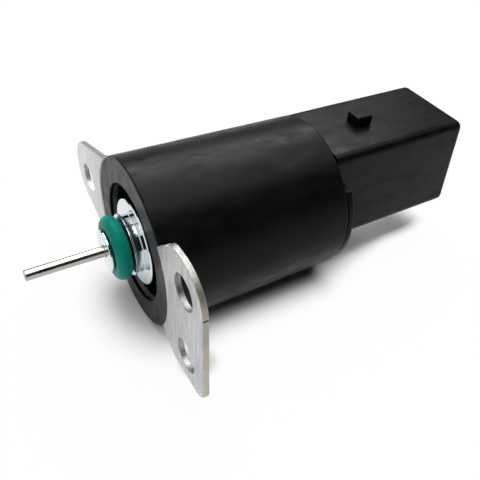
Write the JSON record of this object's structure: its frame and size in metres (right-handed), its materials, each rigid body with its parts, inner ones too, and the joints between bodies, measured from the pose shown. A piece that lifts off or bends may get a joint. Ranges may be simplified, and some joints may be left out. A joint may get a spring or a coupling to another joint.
{
  "type": "fuel shutoff solenoid",
  "caption": "Plunger solenoid with a slim stop pin and O-ring nose, a bolt-on flange and a rectangular plug socket at the rear.",
  "frame": {"origin": "on the solenoid's axis, in the mounting plane: the front faces of the flange's ears", "axes": "+X along the axis toward the plug socket, so the stop pin points to -X; +Z toward the socket's latch"},
  "size_m": [0.1112, 0.0742, 0.0394],
  "materials": {
    "black_moulding": "moulded, semi-matte black",
    "zinc_plate": "zinc plated sheet, scratched",
    "bright_zinc": "turned, bright zinc",
    "green_rubber": "smooth green rubber",
    "stainless": "drawn stainless",
    "plain_steel": "turned steel",
    "brass": "drawn brass",
    "bronze": "sintered bronze",
    "enamelled_copper": "wound enamelled wire",
    "natural_nylon": "moulded",
    "coil_tape": "yellow polyester tape",
    "black_rubber": "matt",
    "black_epoxy": "cast epoxy",
    "tinned_brass": "tin plated",
    "lead_insulation": "extruded sleeve"
  },
  "bodies": {
    "housing": {"flange_plate": "zinc_plate", "body_housing": "black_moulding", "connector_housing": "black_moulding", "pole_nose": "bright_zinc", "o_ring": "green_rubber", "front_potting": "black_epoxy", "guide_bush": "bronze", "return_spring": "plain_steel", "stop_washer": "black_rubber", "core_shim": "brass", "fixed_core": "plain_steel", "guide_tube": "brass", "coil_bobbin": "natural_nylon", "coil_winding": "enamelled_copper", "coil_tape": "coil_tape", "front_pole_ring": "plain_steel", "yoke_tube": "plain_steel", "rear_end_plate": "plain_steel", "coil_lead_a": "lead_insulation", "coil_lead_b": "lead_insulation", "terminal_blade_a": "tinned_brass", "terminal_blade_b": "tinned_brass"},
    "plunger": {"stop_pin": "stainless", "armature": "plain_steel", "pin_clip": "stainless"}
  },
  "joints": [
    {"name": "plunger_slide", "type": "slide", "parent": "housing", "child": "plunger", "axis": [1, 0, 0], "range_m": [0, 0.006], "stiffness_N_per_m": 1500, "springref_m": -0.005, "deforming": ["return_spring"]}
  ]
}
